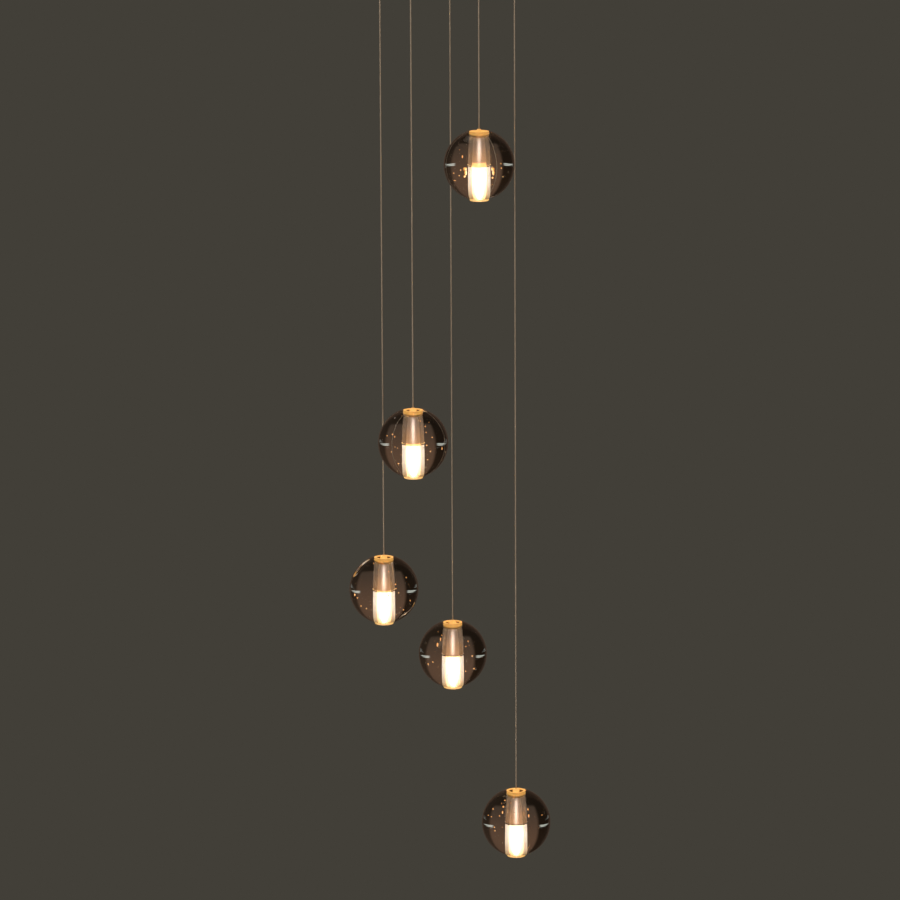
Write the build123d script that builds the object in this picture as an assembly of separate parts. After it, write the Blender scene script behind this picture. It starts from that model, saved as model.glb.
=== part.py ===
from build123d import *
from math import cos, radians, sin, sqrt, tan
import os

# Cluster pendant: five cast glass balls on thin cords, hung from one round ceiling canopy.
# Millimetres, +Z up. The origin is the centre of the ceiling plate's upper face, so the
# whole lamp hangs below it. +Y points away from the person looking at it, +X to the right.

# ---- layout -----------------------------------------------------------------------------
CANOPY_R = 142.0
OUTLET_INSET = 35.0                    # from the canopy's wall in to the five cord outlets
DROP_1 = 340.0                         # from the ceiling to the middle of each ball
DROP_2 = 788.0
DROP_3 = 1049.0
DROP_4 = 1182.0
DROP_5 = 1439.0
# one pendant: the angle of its outlet, its drop, and the turn of its cap's cross bar
PENDANTS = [
    (300.0, DROP_1, 84.0),
    (240.0, DROP_2, 4.0),
    (180.0, DROP_3, 12.0),
    (90.0, DROP_4, 32.0),
    (0.0, DROP_5, -3.0),
]
OVERCUT = 1.0                          # a cut runs this far past the face it starts from
MATCH = 0.01                           # edges are picked out to this accuracy

# ---- ceiling canopy ---------------------------------------------------------------------
CANOPY_DEPTH = 56.0                    # ceiling to the underside of the cover
COVER_WALL = 1.5
COVER_EDGE_R = 7.0
PLATE_THICK = 2.0
PLATE_FIT = 0.4                        # between the plate's rim and the cover's wall
CEILING_BOLT_CIRCLE_R = 90.0
CEILING_BOLT_HOLE_R = 2.75
CEILING_BOLTS = 4
CEILING_BOLT_TURN = 22.5               # degrees, keeps the bolts clear of the gear
SUPPLY_HOLE_R = 13.0                   # the supply cable comes through the plate here

EAR_ANGLES = (30.0, 150.0, 270.0)      # folded ears that carry the cover
EAR_WIDTH = 16.0
EAR_HEIGHT = 14.0
EAR_THICK = 3.0
COVER_SCREW_R = 2.0
COVER_SCREW_LENGTH = 9.0
COVER_SCREW_HEAD_R = 4.0
COVER_SCREW_HEAD_H = 2.4
COVER_SCREW_CROWN_R = 1.68             # rounding of the domed head
COVER_SCREW_SLOT = 1.0                 # width and depth of the driver slot
SCREW_FIT = 0.15                       # all round a screw in its hole

# ---- cord grips, one at each outlet -----------------------------------------------------
GRIP_COLLAR_R = 7.5
GRIP_COLLAR_H = 9.0                    # stands below the cover
GRIP_COLLAR_EDGE_R = 1.2
GRIP_STEM_R = 5.5
GRIP_STEM_H = 16.0                     # above the underside of the cover
GRIP_HOLE_FIT = 0.2
GRIP_NUT_H = 4.0
GRIP_NUT_FLATS = 16.0
PIVOT_BELOW_COVER = 3.5                # the point that each cord swings about
BUSH_R = 4.0
BUSH_HALF_H = 3.0
BUSH_FIT = 0.08
BUSH_FLARE = 15.0                      # degrees, the bush's hole opens both ways
BUSH_WAIST_FIT = 0.3
GRIP_MOUTH_R = 3.3
GRIP_THROAT_ABOVE_PIVOT = 4.6
SET_SCREW_R = 1.5
SET_SCREW_ABOVE_NUT = 4.5
SET_SCREW_STAND = 0.5                  # its end stands out of the stem

# ---- cords ------------------------------------------------------------------------------
CORD_R = 1.1
CORD_FIT = 0.08                        # a cord in the cap's boss
TAIL_FIT = 0.2                         # a cord in the grip's throat
END_GAP = 0.3                          # between the end of a cord and what it meets
TAIL_RUN_Z = -31.0                     # the tails cross the canopy at this height
TAIL_BEND_R = 7.0

# ---- glass ball -------------------------------------------------------------------------
BALL_R = 56.0
SEAM_ARRIS_R = 1.6                     # rounded edge of each half at the seam
BORE_R = 11.7                          # straight bore; the round glass makes it look wider
MOUTH_TOP_R = 15.55                    # the bore opens to a tapered mouth for the cap
MOUTH_FOOT_R = 12.6
RIM_R = 16.8                           # flat ground round the mouth at the top of the ball
RIM_EDGE_R = 0.5
LIP_STAND = 1.0                        # the lip's flat end, below the bottom of the ball
LIP_R = 15.2
LIP_EDGE_R = 1.2
LIP_ROOT_R = 1.5

# ---- cap, a tapered plug -----------------------------------------------------------------
CAP_FIT = 0.25                         # between the plug and the ball's mouth
CAP_STAND = 0.2                        # its top stands just above the rim
CAP_HEIGHT = 15.4
CAP_DISC = 2.2
CAP_EDGE_R = 0.6
CAP_BAR_WIDTH = 6.4
CAP_VENT_R = 12.2
CAP_SPIGOT_H = 6.0                     # reaches below the plug, into the carrier
CAP_SPIGOT_WALL = 1.0
BOSS_BASE_R = 5.6
BOSS_TOP_R = 2.1
BOSS_H = 3.4
FERRULE_R = 2.6
FERRULE_H = 10.0
CRIMP_FIT = 0.03                       # a crimped sleeve, drawn just clear of its cord
SEAT_GAP = 0.1                         # parts that bear on each other, drawn just apart

# ---- carrier, lamp holder and lamp ------------------------------------------------------
CARRIER_FIT = 0.5                      # between the carrier and the bore
CARRIER_WALL = 1.0
FLANGE_LAP = 0.6                       # the flange reaches this far under the upper half
FLANGE_H = 1.1
FLANGE_FIT = 0.1
CARRIER_LEDGE_R = 6.6                  # hole in the ledge that the holder stands on
CARRIER_LEDGE_H = 1.5
HOLDER_R = 8.2
HOLDER_H = 14.0
HOLDER_ENTRY_DEPTH = 4.0
HOLDER_ENTRY_FIT = 0.4
HOLDER_EDGE_R = 1.0
PIN_R = 0.35
PIN_FIT = 0.06
PIN_LENGTH = 6.5
PIN_SPACING = 4.0
LAMP_R = 5.0
LAMP_LENGTH = 34.0
LAMP_BASE_R = 4.4
LAMP_BASE_H = 6.0
LAMP_TIP_R = 3.5                       # rounding of the closed end

# ---- electrical gear in the canopy ------------------------------------------------------
TRANSFORMER = (112.0, 42.0, 20.0)
TRANSFORMER_CENTRE = (0.0, 48.0)
TRANSFORMER_FOOT = 8.0                 # screwed lug at each end
TRANSFORMER_FOOT_WIDTH = 21.0
TRANSFORMER_FOOT_H = 2.0
TRANSFORMER_EDGE_R = 2.0
MAINS_BLOCK = (30.0, 16.0, 13.0)
MAINS_BLOCK_CENTRE = (-68.0, -2.0)
MAINS_PORT_SPACING = 9.0
LAMP_BLOCK = (62.0, 14.0, 12.0)
LAMP_BLOCK_CENTRE = (0.0, -36.0)
BLOCK_PORT_R = 2.0
BLOCK_PORT_DEPTH = 6.0
TAIL_IN_PORT = 3.0                     # how far each cord tail goes into its port
BLOCK_EDGE_R = 1.0
GEAR_SCREW_R = 1.5
GEAR_SCREW_HEAD_R = 2.8
GEAR_SCREW_HEAD_H = 1.8
EARTH_SCREW_AT = (52.0, 0.0)
EARTH_SCREW_R = 2.0
EARTH_SCREW_LENGTH = 8.0
EARTH_SCREW_HEAD_R = 4.0
EARTH_SCREW_HEAD_H = 2.0
EARTH_WASHER_R = 5.2
EARTH_WASHER_H = 1.0
LEAD_R = 1.0
LEAD_BEND_R = 4.0
LEAD_SPACING = 6.0

# ---- derived places ---------------------------------------------------------------------
OUTLET_CIRCLE_R = CANOPY_R - OUTLET_INSET
COVER_UNDER_Z = -CANOPY_DEPTH
COVER_FLOOR_Z = COVER_UNDER_Z + COVER_WALL
PIVOT_Z = COVER_UNDER_Z - PIVOT_BELOW_COVER
GEAR_Z = -PLATE_THICK                  # the gear hangs from the plate's lower face
PLATE_R = CANOPY_R - COVER_WALL - PLATE_FIT
SET_SCREW_Z = COVER_FLOOR_Z + GRIP_NUT_H + SET_SCREW_ABOVE_NUT
EAR_SCREW_Z = -PLATE_THICK - EAR_HEIGHT / 2
LIP_Z = -BALL_R - LIP_STAND
RIM_Z = sqrt(BALL_R ** 2 - RIM_R ** 2)
CAP_TOP_Z = RIM_Z + CAP_STAND
CAP_BOTTOM_Z = CAP_TOP_Z - CAP_HEIGHT
CAP_DISC_UNDER_Z = CAP_TOP_Z - CAP_DISC
MOUTH_FOOT_Z = CAP_BOTTOM_Z - SEAT_GAP  # the ledge in the bore that the plug stands on
CARRIER_R = BORE_R - CARRIER_FIT
CARRIER_BORE_R = CARRIER_R - CARRIER_WALL
FLANGE_R = BORE_R + FLANGE_LAP
HOLDER_Z = CARRIER_LEDGE_H - FLANGE_H  # the holder stands on the carrier's ledge
HOLDER_TOP_Z = HOLDER_Z + HOLDER_H
LAMP_TOP_Z = HOLDER_Z - END_GAP


def turned(points):
    """A solid of revolution about Z from (radius, height) corners."""
    outline = Polyline(*[(r, 0, z) for r, z in points], close=True)
    return revolve(make_face(outline), axis=Axis.Z)


def rod(radius, low, high, x=0.0, y=0.0):
    """An upright cylinder between two heights."""
    return Pos(x, y, (low + high) / 2) * Cylinder(radius, high - low)


def block(size, low, x=0.0, y=0.0):
    """An upright box standing on the height low."""
    return Pos(x, y, low + size[2] / 2) * Box(*size)


def circle_edges(solid, radius, height):
    """The round edges of this radius that lie at this height."""
    level = [e for e in solid.edges().filter_by(GeomType.CIRCLE)
             if abs(e.center().Z - height) < MATCH]
    return [e for e in level if abs(e.radius - radius) < MATCH]


def wire(points, radius, bend_r):
    """A wire or cord laid along straight runs joined by round bends."""
    path = FilletPolyline(*points, radius=bend_r)
    section = Plane(origin=path @ 0, z_dir=path % 0) * Circle(radius)
    return sweep(section, path=path)


def outlet(angle):
    """Where a cord leaves the canopy."""
    return OUTLET_CIRCLE_R * cos(radians(angle)), OUTLET_CIRCLE_R * sin(radians(angle))


def save(name, *solids):
    """One file for one piece, or for a group of like pieces."""
    shape = solids[0] if len(solids) == 1 else Compound(children=list(solids))
    export_step(shape, f"parts/{name}.step")


# ---- canopy -----------------------------------------------------------------------------
def ceiling_plate():
    """Flat steel disc against the ceiling, with ears folded down for the cover's screws."""
    plate = rod(PLATE_R, -PLATE_THICK, 0)
    ear_size = (EAR_THICK, EAR_WIDTH, EAR_HEIGHT)
    hole_length = 4 * EAR_THICK
    reach = sqrt((PLATE_R - PLATE_FIT) ** 2 - (EAR_WIDTH / 2) ** 2)
    for angle in EAR_ANGLES:
        ear = block(ear_size, -PLATE_THICK - EAR_HEIGHT, x=reach - EAR_THICK / 2)
        plate += Rot(0, 0, angle) * ear
    for angle in EAR_ANGLES:
        hole = Cylinder(COVER_SCREW_R + SCREW_FIT, hole_length)
        plate -= Rot(0, 0, angle) * Pos(reach, 0, EAR_SCREW_Z) * Rot(0, 90, 0) * hole
    for i in range(CEILING_BOLTS):
        turn = Rot(0, 0, CEILING_BOLT_TURN + 360.0 / CEILING_BOLTS * i)
        plate -= turn * rod(CEILING_BOLT_HOLE_R, -PLATE_THICK - OVERCUT, OVERCUT,
                            x=CEILING_BOLT_CIRCLE_R)
    return plate - rod(SUPPLY_HOLE_R, -PLATE_THICK - OVERCUT, OVERCUT)


def canopy_cover():
    """Spun dish that hides the gear: open at the ceiling, drilled for the five grips."""
    body = rod(CANOPY_R, COVER_UNDER_Z, 0)
    body = fillet(circle_edges(body, CANOPY_R, COVER_UNDER_Z), COVER_EDGE_R)
    hollow_r = CANOPY_R - COVER_WALL
    hollow = rod(hollow_r, COVER_FLOOR_Z, OVERCUT)
    hollow = fillet(circle_edges(hollow, hollow_r, COVER_FLOOR_Z), COVER_EDGE_R - COVER_WALL)
    body -= hollow
    for angle, _, _ in PENDANTS:
        x, y = outlet(angle)
        body -= rod(GRIP_STEM_R + GRIP_HOLE_FIT, COVER_UNDER_Z - OVERCUT,
                    COVER_FLOOR_Z + OVERCUT, x, y)
    for angle in EAR_ANGLES:
        hole = Cylinder(COVER_SCREW_R + SCREW_FIT, 2 * COVER_EDGE_R)
        body -= Rot(0, 0, angle) * Pos(CANOPY_R, 0, EAR_SCREW_Z) * Rot(0, 90, 0) * hole
    return body


def cover_screws():
    """Dome-headed screws through the side of the cover into the ears."""
    head = rod(COVER_SCREW_HEAD_R, 0, COVER_SCREW_HEAD_H)
    head = fillet(circle_edges(head, COVER_SCREW_HEAD_R, COVER_SCREW_HEAD_H),
                  COVER_SCREW_CROWN_R)
    slot = block((3 * COVER_SCREW_HEAD_R, COVER_SCREW_SLOT, COVER_SCREW_SLOT),
                 COVER_SCREW_HEAD_H - COVER_SCREW_SLOT)
    screw = head + rod(COVER_SCREW_R, -COVER_SCREW_LENGTH, 0) - slot
    placed = Pos(CANOPY_R + SEAT_GAP, 0, EAR_SCREW_Z) * Rot(0, 90, 0) * screw
    return [Rot(0, 0, angle) * placed for angle in EAR_ANGLES]


def cord_grip():
    """Turned fitting that clamps a cord above and lets it swing in a soft bush below."""
    low = -GRIP_COLLAR_H
    body = rod(GRIP_COLLAR_R, low, 0)
    body = fillet(circle_edges(body, GRIP_COLLAR_R, low), GRIP_COLLAR_EDGE_R)
    body += rod(GRIP_STEM_R, 0, GRIP_STEM_H)
    pivot = -PIVOT_BELOW_COVER
    throat = pivot + GRIP_THROAT_ABOVE_PIVOT
    body -= rod(CORD_R + TAIL_FIT, throat - OVERCUT, GRIP_STEM_H + OVERCUT)
    body -= rod(GRIP_MOUTH_R, low - OVERCUT, throat)
    body -= Pos(0, 0, pivot) * Sphere(BUSH_R + BUSH_FIT)
    hole = Pos(GRIP_STEM_R, 0, SET_SCREW_Z - COVER_UNDER_Z) * Rot(0, 90, 0)
    body -= hole * Cylinder(SET_SCREW_R + SCREW_FIT, 2 * GRIP_STEM_R - CORD_R)
    return body


def grip_nut():
    """Thin hexagon nut that holds a grip to the cover."""
    height = COVER_FLOOR_Z - COVER_UNDER_Z
    across = GRIP_NUT_FLATS / sqrt(3)
    nut = Pos(0, 0, height) * extrude(RegularPolygon(across, 6), GRIP_NUT_H)
    return nut - rod(GRIP_STEM_R + SEAT_GAP, 0, height + GRIP_NUT_H + OVERCUT)


def set_screw():
    """Grub screw that pinches the cord inside the grip."""
    start = CORD_R + TAIL_FIT
    length = GRIP_STEM_R - start + SET_SCREW_STAND
    screw = Pos(start + length / 2, 0, SET_SCREW_Z - COVER_UNDER_Z) * Rot(0, 90, 0)
    return screw * Cylinder(SET_SCREW_R, length)


def strain_bush():
    """Soft ball in the grip's mouth: its hole flares both ways from the pivot."""
    ball = Sphere(BUSH_R) & Cylinder(BUSH_R + OVERCUT, 2 * BUSH_HALF_H)
    waist = CORD_R + BUSH_WAIST_FIT
    wide = waist + BUSH_R * tan(radians(BUSH_FLARE))
    hole = turned([(0, -BUSH_R), (wide, -BUSH_R), (waist, 0), (wide, BUSH_R), (0, BUSH_R)])
    return ball - hole


def at_outlet(angle, solid, height=COVER_UNDER_Z):
    """Set a piece at an outlet, with its own +X pointing outwards."""
    x, y = outlet(angle)
    return Pos(x, y, height) * Rot(0, 0, angle) * solid


def cord_tail(angle, port_x):
    """The cord inside the canopy: up from its grip, across, and up into the lamp block."""
    x, y = outlet(angle)
    start = PIVOT_Z + CORD_R + END_GAP
    port_y = LAMP_BLOCK_CENTRE[1]
    port_z = GEAR_Z - LAMP_BLOCK[2] + TAIL_IN_PORT
    points = [(x, y, start), (x, y, TAIL_RUN_Z), (port_x, port_y, TAIL_RUN_Z),
              (port_x, port_y, port_z)]
    return wire(points, CORD_R, TAIL_BEND_R)


def port_positions():
    """Five cord ports along the underside of the lamp block."""
    step = LAMP_BLOCK[0] / (len(PENDANTS) + 1)
    return [(i - (len(PENDANTS) - 1) / 2) * step for i in range(len(PENDANTS))]


def lamp_block():
    """Terminal block that shares the low voltage among the five cords."""
    body = fillet(block(LAMP_BLOCK, GEAR_Z - LAMP_BLOCK[2], *LAMP_BLOCK_CENTRE)
                  .edges().filter_by(Axis.Z), BLOCK_EDGE_R)
    under = GEAR_Z - LAMP_BLOCK[2]
    for x in port_positions():
        body -= rod(BLOCK_PORT_R, under - OVERCUT, under + BLOCK_PORT_DEPTH,
                    LAMP_BLOCK_CENTRE[0] + x, LAMP_BLOCK_CENTRE[1])
    return body


def mains_block():
    """Terminal block where the house supply is joined."""
    size = MAINS_BLOCK
    body = block(size, GEAR_Z - size[2], *MAINS_BLOCK_CENTRE)
    body = fillet(body.edges().filter_by(Axis.Z), BLOCK_EDGE_R)
    for i in (-1, 0, 1):
        x = MAINS_BLOCK_CENTRE[0] + i * MAINS_PORT_SPACING
        hole = Pos(x, MAINS_BLOCK_CENTRE[1] + size[1] / 2, GEAR_Z - size[2] / 2)
        body -= hole * Rot(90, 0, 0) * Cylinder(BLOCK_PORT_R, size[1])
    return body


def transformer():
    """Flat low-voltage transformer with a screwed lug at each end."""
    x, y = TRANSFORMER_CENTRE
    body = block(TRANSFORMER, GEAR_Z - TRANSFORMER[2], x, y)
    body = fillet(body.edges().filter_by(Axis.Z), TRANSFORMER_EDGE_R)
    for side in (-1, 1):
        foot_x = x + side * (TRANSFORMER[0] + TRANSFORMER_FOOT) / 2
        foot_size = (TRANSFORMER_FOOT, TRANSFORMER_FOOT_WIDTH, TRANSFORMER_FOOT_H)
        foot_z = GEAR_Z - TRANSFORMER_FOOT_H
        body += block(foot_size, foot_z, foot_x, y)
        body -= rod(GEAR_SCREW_R + SCREW_FIT, foot_z - OVERCUT, GEAR_Z + OVERCUT, foot_x, y)
    return body


def transformer_screws():
    """Two pan-head screws through the transformer's lugs, their points on the plate."""
    under = GEAR_Z - TRANSFORMER_FOOT_H
    screws = []
    for side in (-1, 1):
        x = TRANSFORMER_CENTRE[0] + side * (TRANSFORMER[0] + TRANSFORMER_FOOT) / 2
        y = TRANSFORMER_CENTRE[1]
        head = rod(GEAR_SCREW_HEAD_R, under - GEAR_SCREW_HEAD_H, under, x, y)
        screws.append(head + rod(GEAR_SCREW_R, under, GEAR_Z, x, y))
    return screws


def earth_screw():
    """Earth terminal: a screw standing down from the plate with a washer under its head."""
    x, y = EARTH_SCREW_AT
    low = GEAR_Z - EARTH_SCREW_LENGTH
    washer_z = low + EARTH_SCREW_HEAD_H
    head = rod(EARTH_SCREW_HEAD_R, low, washer_z, x, y)
    washer = rod(EARTH_WASHER_R, washer_z, washer_z + EARTH_WASHER_H, x, y)
    return head + washer + rod(EARTH_SCREW_R, low, GEAR_Z, x, y)


def mains_leads():
    """From the mains block round to the transformer's input end."""
    z = GEAR_Z - MAINS_BLOCK[2] / 2
    x_end = TRANSFORMER_CENTRE[0] - TRANSFORMER[0] / 2 - SEAT_GAP
    y_end = TRANSFORMER_CENTRE[1] + TRANSFORMER[1] / 2 - LEAD_SPACING
    y_port = MAINS_BLOCK_CENTRE[1] + SEAT_GAP
    leads = []
    for port, side in ((-1, 0.5), (0, -0.5)):
        x = MAINS_BLOCK_CENTRE[0] + port * MAINS_PORT_SPACING
        y = y_end + side * LEAD_SPACING
        leads.append(wire([(x, y_port, z), (x, y, z), (x_end, y, z)], LEAD_R, LEAD_BEND_R))
    return leads


def lamp_leads():
    """From the transformer's output end to the end of the lamp block."""
    z = GEAR_Z - LAMP_BLOCK[2] / 2
    x_out = TRANSFORMER_CENTRE[0] + TRANSFORMER[0] / 2
    y_out = TRANSFORMER_CENTRE[1] + TRANSFORMER[1] / 2 - LEAD_SPACING
    x_in = LAMP_BLOCK_CENTRE[0] + LAMP_BLOCK[0] / 2
    leads = []
    for side in (-0.5, 0.5):
        far_x = x_out + TRANSFORMER_FOOT + LEAD_SPACING * (1.5 + side)
        points = [(x_out + SEAT_GAP, y_out + side * LEAD_SPACING, z),
                  (far_x, y_out + side * LEAD_SPACING, z),
                  (far_x, LAMP_BLOCK_CENTRE[1] - side * LEAD_SPACING, z),
                  (x_in + SEAT_GAP, LAMP_BLOCK_CENTRE[1] - side * LEAD_SPACING, z)]
        leads.append(wire(points, LEAD_R, LEAD_BEND_R))
    return leads


# ---- one pendant, with its origin at the middle of the ball -------------------------------
def upper_glass():
    """Upper half of the ball: straight bore, with a tapered mouth at the top for the cap."""
    half = Sphere(BALL_R) & rod(BALL_R + OVERCUT, 0, RIM_Z)
    half = fillet(circle_edges(half, BALL_R, 0), SEAM_ARRIS_R)
    half = fillet(circle_edges(half, RIM_R, RIM_Z), RIM_EDGE_R)
    half -= rod(BORE_R, -OVERCUT, RIM_Z)
    mouth = [(0, MOUTH_FOOT_Z), (MOUTH_FOOT_R, MOUTH_FOOT_Z), (MOUTH_TOP_R, RIM_Z), (0, RIM_Z)]
    return half - turned(mouth)


def lower_glass():
    """Lower half of the ball: its bore runs out through a short flat lip."""
    half = Sphere(BALL_R) & rod(BALL_R + OVERCUT, -BALL_R - OVERCUT, 0)
    half = fillet(circle_edges(half, BALL_R, 0), SEAM_ARRIS_R)
    half += rod(LIP_R, LIP_Z, -BALL_R / 2)
    root_z = -sqrt(BALL_R ** 2 - LIP_R ** 2)
    half = fillet(circle_edges(half, LIP_R, root_z), LIP_ROOT_R)
    half = fillet(circle_edges(half, LIP_R, LIP_Z), LIP_EDGE_R)
    half -= rod(BORE_R, LIP_Z - OVERCUT, OVERCUT)
    return half - rod(FLANGE_R + FLANGE_FIT, -FLANGE_H - SEAT_GAP, OVERCUT)


def carrier():
    """Sleeve in the upper bore. Its flange lifts the glass at the seam."""
    return turned([
        (CARRIER_LEDGE_R, -FLANGE_H), (FLANGE_R, -FLANGE_H), (FLANGE_R, 0), (CARRIER_R, 0),
        (CARRIER_R, MOUTH_FOOT_Z), (CARRIER_BORE_R, MOUTH_FOOT_Z),
        (CARRIER_BORE_R, HOLDER_Z), (CARRIER_LEDGE_R, HOLDER_Z),
    ])


def cap():
    """Moulded plug in the ball's mouth: tapered ring, cross bar with a boss, two vents."""
    top_r = MOUTH_TOP_R - CAP_FIT
    foot_r = MOUTH_FOOT_R - CAP_FIT
    spigot_r = CARRIER_BORE_R - SEAT_GAP
    spigot_z = CAP_BOTTOM_Z - CAP_SPIGOT_H
    inner_r = spigot_r - CAP_SPIGOT_WALL
    body = turned([
        (inner_r, spigot_z), (spigot_r, spigot_z), (spigot_r, CAP_BOTTOM_Z),
        (foot_r, CAP_BOTTOM_Z), (top_r, CAP_TOP_Z), (0, CAP_TOP_Z), (0, CAP_DISC_UNDER_Z),
        (CAP_VENT_R, CAP_DISC_UNDER_Z), (inner_r, CAP_BOTTOM_Z),
    ])
    body = fillet(circle_edges(body, top_r, CAP_TOP_Z), CAP_EDGE_R)
    vents = rod(CAP_VENT_R, CAP_DISC_UNDER_Z - OVERCUT, CAP_TOP_Z + OVERCUT)
    vents -= block((CAP_BAR_WIDTH, 3 * CAP_VENT_R, CAP_HEIGHT), CAP_DISC_UNDER_Z - OVERCUT)
    vents -= rod(BOSS_BASE_R, CAP_DISC_UNDER_Z - OVERCUT, CAP_TOP_Z + OVERCUT)
    body -= vents
    body += Pos(0, 0, CAP_TOP_Z + BOSS_H / 2) * Cone(BOSS_BASE_R, BOSS_TOP_R, BOSS_H)
    return body - rod(CORD_R + CORD_FIT, CAP_DISC_UNDER_Z - OVERCUT,
                      CAP_TOP_Z + BOSS_H + OVERCUT)


def ferrule():
    """Crimped stop on the cord, which lifts the cap's cross bar."""
    high = CAP_DISC_UNDER_Z - SEAT_GAP
    sleeve = rod(FERRULE_R, high - FERRULE_H, high)
    return sleeve - rod(CORD_R + CRIMP_FIT, high - FERRULE_H - OVERCUT, high + OVERCUT)


def lamp_holder():
    """Ceramic two-pin holder: cord entry above, pin sockets below."""
    body = rod(HOLDER_R, HOLDER_Z, HOLDER_TOP_Z)
    body = fillet(circle_edges(body, HOLDER_R, HOLDER_TOP_Z), HOLDER_EDGE_R)
    body -= rod(CORD_R + HOLDER_ENTRY_FIT, HOLDER_TOP_Z - HOLDER_ENTRY_DEPTH,
                HOLDER_TOP_Z + OVERCUT)
    for side in (-1, 1):
        body -= rod(PIN_R + PIN_FIT, HOLDER_Z - OVERCUT, HOLDER_Z + PIN_LENGTH + OVERCUT,
                    x=side * PIN_SPACING / 2)
    return body


def lamp():
    """Capsule lamp with a pressed base and two pins."""
    low = LAMP_TOP_Z - LAMP_LENGTH
    body = rod(LAMP_R, low, LAMP_TOP_Z - LAMP_BASE_H)
    body = fillet(circle_edges(body, LAMP_R, low), LAMP_TIP_R)
    body += rod(LAMP_BASE_R, LAMP_TOP_Z - LAMP_BASE_H, LAMP_TOP_Z)
    for side in (-1, 1):
        body += rod(PIN_R, LAMP_TOP_Z, HOLDER_Z + PIN_LENGTH, x=side * PIN_SPACING / 2)
    return body


def free_cord(drop):
    """The straight free stretch: a domed top at the pivot, its foot in the lamp holder."""
    foot = -drop + HOLDER_TOP_Z - HOLDER_ENTRY_DEPTH + END_GAP
    return rod(CORD_R, foot, PIVOT_Z) + Pos(0, 0, PIVOT_Z) * Sphere(CORD_R)


def main():
    os.makedirs("parts", exist_ok=True)
    angles = [angle for angle, _, _ in PENDANTS]

    save("ceiling_plate", ceiling_plate())
    save("canopy_cover", canopy_cover())
    save("cover_screws", *cover_screws())
    save("cord_grips", *[at_outlet(a, cord_grip()) for a in angles])
    save("grip_nuts", *[at_outlet(a, grip_nut()) for a in angles])
    save("grip_set_screws", *[at_outlet(a, set_screw()) for a in angles])
    save("transformer", transformer())
    save("transformer_screws", *transformer_screws())
    save("mains_terminal_block", mains_block())
    save("lamp_terminal_block", lamp_block())
    save("earth_screw", earth_screw())
    save("mains_leads", *mains_leads())
    save("lamp_leads", *lamp_leads())

    # the cords reach the ports in the order of their outlets from left to right
    order = sorted(range(len(angles)), key=lambda i: outlet(angles[i])[0])
    ports = dict(zip(order, port_positions()))
    save("cord_tails", *[cord_tail(a, LAMP_BLOCK_CENTRE[0] + ports[i])
                         for i, a in enumerate(angles)])

    pieces = {
        "upper_glass": upper_glass(),
        "lower_glass": lower_glass(),
        "carrier": carrier(),
        "cap": cap(),
        "ferrule": ferrule(),
        "lamp_holder": lamp_holder(),
        "lamp": lamp(),
    }
    for number, (angle, drop, cap_turn) in enumerate(PENDANTS, start=1):
        x, y = outlet(angle)
        place = Pos(x, y, -drop) * Rot(0, 0, cap_turn)
        for name, solid in pieces.items():
            save(f"{name}_{number}", place * solid)
        save(f"cord_{number}", Pos(x, y, 0) * free_cord(drop))
        save(f"strain_bush_{number}", at_outlet(angle, strain_bush(), PIVOT_Z))


main()
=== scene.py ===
# %% [markdown]
# # A cluster pendant: five cast glass balls hanging from one round canopy
# Each ball is two half balls of clear cast glass, bonded at the equator, with a straight bore
# through the middle. The lower part of the bore is ground, and a capsule lamp lights it from
# inside. In its upper part a satin aluminium carrier holds the lamp. The ball is a strong
# lens, so the bore looks half as wide again as it is. The CAD model fixes every place and
# size, and this lesson gives the pieces their looks.

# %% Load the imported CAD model
import math
import random

import bpy
from mathutils import Matrix, Vector


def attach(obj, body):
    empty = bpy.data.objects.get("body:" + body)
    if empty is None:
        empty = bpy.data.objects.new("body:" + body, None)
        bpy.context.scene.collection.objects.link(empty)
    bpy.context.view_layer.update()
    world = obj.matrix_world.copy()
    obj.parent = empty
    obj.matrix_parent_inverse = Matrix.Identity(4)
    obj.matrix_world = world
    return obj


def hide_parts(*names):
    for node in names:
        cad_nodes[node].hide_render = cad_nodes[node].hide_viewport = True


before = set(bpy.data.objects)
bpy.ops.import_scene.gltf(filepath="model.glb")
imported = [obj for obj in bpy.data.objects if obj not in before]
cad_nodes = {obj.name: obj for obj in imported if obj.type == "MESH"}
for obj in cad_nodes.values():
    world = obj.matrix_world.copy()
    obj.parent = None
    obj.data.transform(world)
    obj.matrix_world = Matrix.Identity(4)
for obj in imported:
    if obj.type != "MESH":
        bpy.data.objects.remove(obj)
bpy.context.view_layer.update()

# %% [markdown]
# ## Sizes
# Blender works in metres and the drawings are in millimetres, so one constant turns one into
# the other. The five balls hang on a circle round the canopy's axis, each at its own drop.

# %% The five pendants
MM = 0.001
OUTLET_CIRCLE_R = 107.0
DROPS = {1: 340.0, 2: 788.0, 3: 1049.0, 4: 1182.0, 5: 1439.0}
OUTLET_ANGLES = {1: 300.0, 2: 240.0, 3: 180.0, 4: 90.0, 5: 0.0}


def ball_centre(number):
    """The middle of a ball, in millimetres."""
    angle = math.radians(OUTLET_ANGLES[number])
    return Vector((OUTLET_CIRCLE_R * math.cos(angle), OUTLET_CIRCLE_R * math.sin(angle),
                   -DROPS[number]))


for number in DROPS:
    print("ball", number, "at", [round(v, 1) for v in ball_centre(number)], "mm")

# %% [markdown]
# ## The camera
# The photograph was taken with a long lens from about eight metres, from a little to the
# right of straight on, looking down by eleven degrees. A camera can be aimed by eye or by a
# constraint, but here its three axes are worked out from those angles, because the same axes
# serve later to place the bubbles. A very small roll matches the lean of the cords.

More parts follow.
